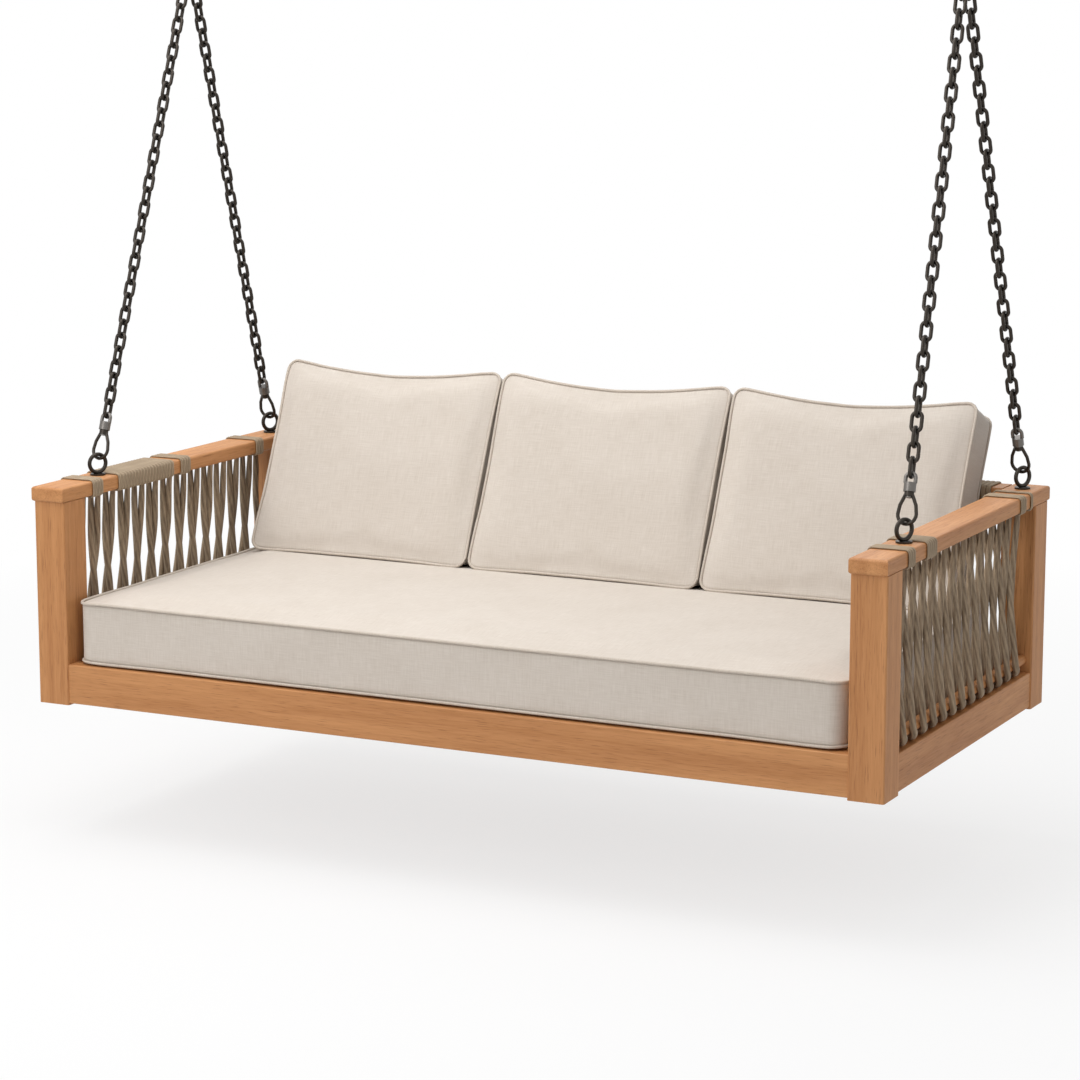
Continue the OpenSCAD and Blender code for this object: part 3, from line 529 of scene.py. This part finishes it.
# %% [markdown]
# ## The woven rope
# One rope makes each panel. It runs over a steel rod hidden in the groove under the top rail, down
# across to the far side of the round dowel, and under the dowel to the next turn. The two strands
# of a turn stay a pair: they squeeze past each other a third of the way down. The end panels lean
# outwards, because their dowels stand outboard of their rods. Nobody winds a rope quite evenly, so
# each strand wanders and ripples a little, by seeded amounts, and the pull has flattened it. The
# narrow groove pinches it round the rod, and below the rail it swells to its full size.

# %% Rope route
rope_wide = 0.00805
rope_thick = 0.0070
rope_pinch = 0.757
pinch_from = 0.006
pinch_over = 0.045
rope_sides = 10
seat_gap = 0.0003
loop_walk = 0.002
cross_walk = 0.0185
arc_steps = 10
strand_steps = 20
wander = 0.0026
ripple = 0.0020
ripples = 4


def rope_route(turns, pitch, rod_r, dowel_r, reach, seed):
    """Points (along, through, up) of a figure-of-eight winding. The rod is at 0, the dowel at -reach."""
    drift = random.Random(seed)
    top_r = rod_r + seat_gap + rope_thick * rope_pinch
    low_r = dowel_r + seat_gap + rope_thick
    tilt = math.asin((top_r + low_r) / reach)
    wrap = math.pi + 2 * tilt
    crossing = top_r / (top_r + low_r)
    route = []

    def strand(at, way, down):
        """Half a pair: it leaves its loop beside at, bulges past its partner and comes back."""
        top = (top_r * math.cos(tilt), -top_r * math.sin(tilt))
        low = (-low_r * math.cos(tilt), low_r * math.sin(tilt) - reach)
        bow = drift.uniform(-wander, wander)
        wave = drift.uniform(-ripple, ripple)
        made = []
        for j in range(1, strand_steps):
            share = j / strand_steps
            near = share / crossing if share < crossing else (1 - share) / (1 - crossing)
            beside = (loop_walk + (cross_walk - loop_walk) * math.sin(math.pi / 2 * near) ** 2) / 2
            loose = bow * math.sin(math.pi * share) + wave * math.sin(ripples * math.pi * share)
            made.append((at + way * beside + loose,
                         way * (top[0] + (low[0] - top[0]) * share),
                         top[1] + (low[1] - top[1]) * share))
        return made if down else made[::-1]

    for turn in range(turns + 1):
        at = turn * pitch + loop_walk / 2
        if turn:
            route += strand(at, -1, False)
        for j in range(arc_steps + 1):
            angle = math.pi + tilt - j * wrap / arc_steps
            route.append((at + (j / arc_steps - 0.5) * loop_walk,
                          top_r * math.cos(angle), top_r * math.sin(angle)))
        if turn == turns:
            break
        route += strand(at, 1, True)
        for j in range(arc_steps + 1):
            angle = math.pi - tilt + j * wrap / arc_steps
            route.append((at + loop_walk / 2 + j / arc_steps * (pitch - loop_walk),
                          low_r * math.cos(angle), low_r * math.sin(angle) - reach))
    return route


# %% Rope panels
def axis_of(node):
    """The middle of a round bar, and its radius."""
    low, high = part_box(node)
    return (low + high) / 2, (high.z - low.z) / 2


def rope_panel(name, turns, seed):
    """The panel over rod weave_rod_NAME and dowel lower_dowel_NAME. The two ends are mirrored."""
    rod, rod_r = axis_of("weave_rod_" + name)
    dowel, dowel_r = axis_of("lower_dowel_" + name)
    low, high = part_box("weave_" + name)
    along = 0 if name == "back" else 1
    start = low[along] + rope_wide
    pitch = (high[along] - rope_wide - start - loop_walk) / turns
    facing = -1 if name == "right" else 1
    hang = dowel - rod
    hang[along] = 0
    reach = hang.length
    down = hang / reach
    through = facing * Vector((-down.z, 0, down.x) if along else (0, -down.z, down.y))
    axis = Vector((0, 1, 0) if along else (1, 0, 0))
    rod[along] = 0
    route = rope_route(turns, pitch, rod_r, dowel_r, reach, seed)
    points = [rod + axis * (start + run) + through * aside - down * up for run, aside, up in route]
    swell = [rope_pinch + (1 - rope_pinch) * min(1, max(0, -up - pinch_from) / pinch_over)
             for _, _, up in route]
    shape = bmesh.new()
    length_of_rope = swept(shape, points, axis, rope_wide, rope_thick, rope_sides, swell=swell)
    bmesh.ops.recalc_face_normals(shape, faces=shape.faces)
    piece("rope_" + name, shape, rope_finish, "bed", "rope", "weave_" + name)
    print("  rope length", round(length_of_rope, 2), "m in", turns, "turns, leaning",
          round(math.degrees(math.acos(-down.z)), 1), "degrees")


side_turns = 13
back_turns = 30
rope_panel("left", side_turns, 3)
rope_panel("right", side_turns, 4)
rope_panel("back", back_turns, 5)

# %% [markdown]
# ## The whipping
# Flat cord is wound round the arm rails beside the eye bolts and round the back top rail. Each turn
# goes up one side, over the top and down the other, and its ends tuck under beside the groove. The
# bands are read from the plain sleeves that they replace, so they can't drift from them.

# %% One wound turn
turn_pitch = 0.0117
turn_gap = 0.0006
whip_thick = 0.0043
corner_steps = 5
rail_edge = 0.006
whip_rise = 0.00235
lip_reach = 0.021
whip_sides = 10


def turn_path(half_wide, half_high):
    """Half a rounded rectangle's outline, from one lip beneath, over the top, to the other."""
    reach_x = half_wide + whip_rise
    reach_z = half_high + whip_rise
    bend = rail_edge + whip_rise
    path = [Vector((-lip_reach, 0, -reach_z))]
    for centre_x, centre_z, begin in ((-1, -1, 270), (-1, 1, 180), (1, 1, 90), (1, -1, 0)):
        middle = Vector((centre_x * (reach_x - bend), 0, centre_z * (reach_z - bend)))
        for j in range(corner_steps + 1):
            angle = math.radians(begin - j * 90 / corner_steps)
            path.append(middle + bend * Vector((math.cos(angle), 0, math.sin(angle))))
    path.append(Vector((lip_reach, 0, -reach_z)))
    return path


# %% Bands of turns
sliver = 0.001
same_place = 0.0005


def bands_in(node, along):
    """The stretches that a sleeve's mesh covers along its rail."""
    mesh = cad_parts[node].data
    faces = [sorted(round(mesh.vertices[i].co[along], 4) for i in polygon.vertices)
             for polygon in mesh.polygons]
    spans = sorted({(f[0], f[-1]) for f in faces if f[-1] - f[0] > sliver})
    merged = []
    for low, high in spans:
        if merged and low <= merged[-1][1] + same_place:
            merged[-1][1] = max(merged[-1][1], high)
        else:
            merged.append([low, high])
    return merged


def whipping(name, node, rail, along):
    """Turns of flat cord for every band of a sleeve, as one piece."""
    low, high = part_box(rail)
    across = 1 - along
    centre = (low + high) / 2
    half_wide = (high[across] - low[across]) / 2
    half_high = (high.z - low.z) / 2
    path = turn_path(half_wide, half_high)
    axis = Vector((0, 1, 0) if along else (1, 0, 0))
    shape = bmesh.new()
    total = 0
    for start, end in bands_in(node, along):
        turns = max(1, round((end - start) / turn_pitch))
        step = (end - start) / turns
        for i in range(turns):
            spot = start + (i + 0.5) * step
            points = []
            for point in path:
                if along:
                    points.append(Vector((centre.x + point.x, spot, centre.z + point.z)))
                else:
                    points.append(Vector((spot, centre.y + point.x, centre.z + point.z)))
            swept(shape, points, axis, (step - turn_gap) / 2, whip_thick / 2, whip_sides)
        total += turns
    bmesh.ops.recalc_face_normals(shape, faces=shape.faces)
    piece(name, shape, whipping_finish, "bed", "whipping_cord", node)
    print("  turns", total)


for side in sides:
    whipping("cord_bands_" + side, "arm_whipping_" + side, "arm_rail_" + side, 1)
whipping("cord_bands_back", "back_whipping", "back_top_rail", 0)

# %% [markdown]
# ## Cushions
# A cushion is two panels joined to a boxing strip by a piped seam. It is sewn flat-sided and then
# stuffed, and the stuffing is what gives it its look: the panels crown, and the seams pull in
# between the corners. So each one starts as a plain box of cloth whose seams are known edges, and
# a cloth simulation with pressure stuffs it. Because the mesh is never rebuilt, the piping can
# follow the very same seam afterwards.

# %% A box of cloth
fewest_cells = 8
hair = 1e-6


def rounded(place, half_x, half_y, corner):
    """Moves a point of a rectangle's corner square into a quarter disc."""
    over_x = abs(place.x) - (half_x - corner)
    over_y = abs(place.y) - (half_y - corner)
    if over_x <= 0 or over_y <= 0:
        return place
    u, v = over_x / corner, over_y / corner
    new_x = half_x - corner + corner * u * math.sqrt(1 - v * v / 2)
    new_y = half_y - corner + corner * v * math.sqrt(1 - u * u / 2)
    return Vector((math.copysign(new_x, place.x), math.copysign(new_y, place.y), place.z))


def cloth_box(half_x, half_y, thick, corner, cell):
    """A closed box of quads with its base at z = 0. Layer "seam" is 1 below and 2 above."""
    shape = bmesh.new()
    columns = max(fewest_cells, round(2 * half_x / cell))
    rows = max(fewest_cells, round(2 * half_y / cell))
    bmesh.ops.create_grid(shape, x_segments=columns, y_segments=rows, size=1)
    bmesh.ops.scale(shape, vec=(half_x, half_y, 1), verts=shape.verts)
    for vert in shape.verts:
        vert.co = rounded(vert.co, half_x, half_y, corner)
    raised = bmesh.ops.extrude_face_region(shape, geom=shape.faces[:])["geom"]
    upper = [g for g in raised if isinstance(g, bmesh.types.BMVert)]
    bmesh.ops.translate(shape, vec=(0, 0, thick), verts=upper)
    risers = [e for e in shape.edges if abs(e.verts[0].co.z - e.verts[1].co.z) > thick / 2]
    bmesh.ops.subdivide_edges(shape, edges=risers, cuts=max(2, round(thick / cell)) - 1,
                              use_grid_fill=True)
    bmesh.ops.recalc_face_normals(shape, faces=shape.faces)
    seam = shape.verts.layers.int.new("seam")
    for vert in shape.verts:
        wall = any(abs(e.other_vert(vert).co.z - vert.co.z) > hair for e in vert.link_edges)
        if wall and vert.co.z < hair:
            vert[seam] = 1
        elif wall and vert.co.z > thick - hair:
            vert[seam] = 2
    loose = [e for e in shape.edges if len(e.link_faces) != 2]
    assert not loose, "the box of cloth is open"
    return shape


def lay_panels(shape):
    """UV in metres on each face, by the side that it faces most."""
    uv = shape.loops.layers.uv.new(linen_map)
    for face in shape.faces:
        facing = [abs(x) for x in face.normal]
        off = facing.index(max(facing))
        u, v = [k for k in (0, 1, 2) if k != off]
        for loop in face.loops:
            loop[uv].uv = (loop.vert.co[u], loop.vert.co[v])


# %% Stuffing
stuff_frames = 20
stuff_pressure = 4
calm_rounds = 18


def calmed(shape, moves):
    """Evens out each vertex's move with its neighbours' moves, which irons out stray folds."""
    around = [[e.other_vert(v).index for e in v.link_edges] for v in shape.verts]
    for _ in range(calm_rounds):
        means = [sum((moves[i] for i in near), Vector()) / len(near) for near in around]
        moves = [(move + mean) / 2 for move, mean in zip(moves, means)]
    return moves


def stuffed(shape, cap):
    """Runs the cloth simulation on a bmesh and returns the settled vertex places.

    No vertex moves further than cap. The result isn't quite the same each run: the cover's
    vertices come in another order, and the settled places differ by up to about 3.5 mm."""
    shape.verts.index_update()
    mesh = bpy.data.meshes.new("stuffing")
    shape.to_mesh(mesh)
    bag = bpy.data.objects.new("stuffing", mesh)
    scene.collection.objects.link(bag)
    cloth = bag.modifiers.new("cloth", "CLOTH")
    cloth.settings.quality = 5
    cloth.settings.mass = 0.3
    cloth.settings.tension_stiffness = 18
    cloth.settings.compression_stiffness = 18
    cloth.settings.shear_stiffness = 6
    cloth.settings.bending_stiffness = 0.6
    cloth.settings.use_pressure = True
    cloth.settings.uniform_pressure_force = stuff_pressure
    cloth.settings.effector_weights.gravity = 0
    cloth.point_cache.frame_start = 1
    cloth.point_cache.frame_end = stuff_frames
    for step in range(1, stuff_frames + 1):
        scene.frame_set(step)
    settled = bag.evaluated_get(bpy.context.evaluated_depsgraph_get()).data
    moves = calmed(shape, [after.co - before.co
                           for before, after in zip(mesh.vertices, settled.vertices)])
    places = [before.co + move.normalized() * cap * math.tanh(move.length / cap)
              for before, move in zip(mesh.vertices, moves)]
    scene.frame_set(1)
    bpy.data.objects.remove(bag)
    return places


# %% Piping
piping_r = 0.0032
piping_sides = 8
# no seam runs along this direction
piping_across = Vector((0.3, 0.2, 1))


def seam_ring(shape, which):
    """The places along one seam, in order round the cushion."""
    seam = shape.verts.layers.int["seam"]
    on_seam = {v for v in shape.verts if v[seam] == which}
    start = min(on_seam, key=lambda v: (v.co.x, v.co.y))
    ring = [start]
    before, here = None, start
    while True:
        follow = [e.other_vert(here) for e in here.link_edges]
        follow = [v for v in follow if v in on_seam and v is not before]
        step = follow[0] if here is not start else min(follow, key=lambda v: v.co.y)
        if step is start or len(ring) > len(on_seam):
            break
        ring.append(step)
        before, here = here, step
    assert len(ring) == len(on_seam), (len(ring), len(on_seam))
    return [v.co.copy() for v in ring]


def piping(shape, name, body):
    """A piped cord along both seams of a finished cushion."""
    cord = bmesh.new()
    for which in (1, 2):
        swept(cord, seam_ring(shape, which), piping_across, piping_r, piping_r, piping_sides,
              closed=True)
    bmesh.ops.recalc_face_normals(cord, faces=cord.faces)
    uv = cord.loops.layers.uv.new(linen_map)
    for face in cord.faces:
        for loop in face.loops:
            loop[uv].uv = (loop.vert.co.x, loop.vert.co.z)
    piece(name, cord, piping_linen, body, "linen")


# %% [markdown]
# A stuffed cushion is never quite smooth. Its cloth has tiny puckers, and its panels keep broad
# shallow hollows. Both are small moves square to the surface. The seams themselves stay put.

# %% Creases
pucker = 0.0007
pucker_scale = 60
hollow = 0.0026
hollow_scale = 5.5


def creased(shape, seed):
    """Puckers and hollows on the panels of a stuffed cushion."""
    shape.normal_update()
    seam = shape.verts.layers.int["seam"]
    shift = Vector((seed * 3.1, seed * 1.7, seed * 0.9))
    for vert in shape.verts:
        if vert[seam]:
            continue
        broad = noise.noise(vert.co * hollow_scale + shift)
        fine = noise.noise(vert.co * pucker_scale + shift)
        vert.co += vert.normal * (hollow * broad + pucker * fine)


# %% [markdown]
# Real covers are cut a little bowed, so that a stuffed cushion's seams come out nearly straight. The
# same is done here from the other end: the corners are brought back out to the cut size, and most of
# the hollow between them is taken out again.

# %% Back to the cut size
hollow_left = 0.15
seam_bow = 2.5
middle_parts = 10


def squared(shape, half_x, half_y):
    """Undoes the seams' pull: all of it at the corners, and most of it between them."""
    seam = shape.verts.layers.int["seam"]
    sewn = [v.co for v in shape.verts if v[seam]]
    wide = half_x / max(abs(place.x) for place in sewn)
    deep = half_y / max(abs(place.y) for place in sewn)
    bmesh.ops.scale(shape, vec=(wide, deep, 1), verts=shape.verts)
    pull_x = half_x - min(abs(p.x) for p in sewn if abs(p.y) < half_y / middle_parts)
    pull_y = half_y - min(abs(p.y) for p in sewn if abs(p.x) < half_x / middle_parts)
    slim = seam_bow * max(1, half_y / half_x)
    long = seam_bow * max(1, half_x / half_y)
    for vert in shape.verts:
        u, v = vert.co.x / half_x, vert.co.y / half_y
        vert.co.x += (1 - hollow_left) * pull_x * u * (1 - min(1, abs(v)) ** slim)
        vert.co.y += (1 - hollow_left) * pull_y * v * (1 - min(1, abs(u)) ** long)
    print("  seams pulled in by", round(1000 * pull_x), "and", round(1000 * pull_y), "mm")


# %% What every cushion goes through
def sewn_and_stuffed(half_x, half_y, thick, corner, cell, cap, seed):
    """A finished cushion's surface, lying flat, with its lower seam near z = 0."""
    shape = cloth_box(half_x, half_y, thick, corner, cell)
    lay_panels(shape)
    for vert, place in zip(shape.verts, stuffed(shape, cap)):
        vert.co = place
    squared(shape, half_x, half_y)
    creased(shape, seed)
    return shape


def smoothed(cover):
    """Rounds off a cover's facets."""
    rounder = cover.modifiers.new("smooth", "SUBSURF")
    rounder.levels = rounder.render_levels = 1


# %% [markdown]
# The seat's stuffing raises its middle a little, and the back cushions stand on that crown. So one
# function gives its height from front to back, and both keep to it.

# %% Crown of the seat
crown_room = 0.013
crown_fall = 0.10
rest_gap = 0.0005
back_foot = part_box("back_cushion_centre")[0].y


def crown(y):
    """Room above the seat's flat top: full before the back cushions, and none well under them."""
    return crown_room * min(1, max(0, (back_foot + crown_fall - y) / crown_fall))


# %% Seat cushion
seat_low, seat_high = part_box("seat_cushion")
seat_size = seat_high - seat_low
seat_mid = (seat_low + seat_high) / 2
foot_seam = 0.008
head_seam = 0.004
seat_cell = 0.014
seat_corner = 0.034
seat_cap = 0.022
front_room = 0.018


def seat():
    """The seat cushion: crowned, flat on the slats, and a little over the front rail."""
    half_x = seat_size.x / 2 - piping_r
    half_y = seat_size.y / 2 - piping_r
    thick = seat_size.z - foot_seam - head_seam
    shape = sewn_and_stuffed(half_x, half_y, thick, seat_corner, seat_cell, seat_cap, 1)
    base = Vector((seat_mid.x, seat_mid.y, seat_low.z + foot_seam))
    for vert in shape.verts:
        vert.co += base
        vert.co.y -= front_room * min(1, max(0, (seat_mid.y - vert.co.y) / half_y))
        vert.co.z = min(max(vert.co.z, seat_low.z + rest_gap), seat_high.z + crown(vert.co.y))
        vert.co.y = min(vert.co.y, seat_high.y)
    piping(shape, "seat_piping", "seat")
    made = piece("seat_cover", shape, linen, "seat", "linen", "seat_cushion")
    smoothed(made)


seat()

# %% [markdown]
# The back cushions lean on the back rail, so each is stuffed lying flat and then leant. Lying flat,
# z runs through it from its back to its front, and y runs up it. Its front face is longer than its
# back one, because it stands on a level seat. Its stuffing fills the two top corners, and the edge
# between them hangs in a shallow curve.

# %% Back cushions
back_lean = math.radians(24)
back_thick = 0.106
cut_tall = 0.438
back_tall = 0.443
back_edge = 0.016
back_cell = 0.011
back_corner = 0.022
back_cap = 0.024
crown_kept = 0.9
foot_crown = 0.45
top_dip = 0.024
dip_power = 1.7
dip_fade = 1.5
side_room = 0.0025


def back_cushion(place, seed):
    """One back cushion, stuffed lying flat and then leant into place."""
    low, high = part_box("back_cushion_" + place)
    rise, run, slope = math.cos(back_lean), math.sin(back_lean), math.tan(back_lean)
    half_x = (high.x - low.x) / 2 - piping_r
    half_y = (back_tall + back_thick * slope) / 2 - piping_r
    front = back_thick - 2 * piping_r
    shape = sewn_and_stuffed(half_x, half_y, front, back_corner, back_cell, back_cap, seed)
    middle_x = (low.x + high.x) / 2
    foot_y = high.y - (cut_tall - back_edge) * run + back_edge * rise - back_edge
    widest = half_x + piping_r + side_room
    foot_z = seat_high.z + rest_gap
    for vert in shape.verts:
        share = (vert.co.y + half_y + piping_r) / (2 * (half_y + piping_r))
        kept = crown_kept * min(1.0, foot_crown + share)
        through = max(0.0, min(vert.co.z, front) + kept * max(0.0, vert.co.z - front) + piping_r)
        across = min(1.0, abs(vert.co.x) / half_x)
        up = share * back_tall - (1 - share) * through * slope
        up -= top_dip * (1 - across ** dip_power) * max(0.0, 2 * share - 1) ** dip_fade
        y = foot_y - through * rise + up * run
        z = seat_high.z + through * run + up * rise
        z += (crown(y) + rest_gap) * max(0.0, 1 - share * 2)
        vert.co = Vector((middle_x + max(-widest, min(widest, vert.co.x)), y,
                          max(z, foot_z + crown(y))))
    bmesh.ops.recalc_face_normals(shape, faces=shape.faces)
    name = "back_" + place
    body = place + "_cushion"
    piping(shape, name + "_piping", body)
    made = piece(name + "_cover", shape, linen, body, "linen", "back_cushion_" + place)
    smoothed(made)


for number, place in enumerate(("left", "centre", "right")):
    back_cushion(place, 7 + number)
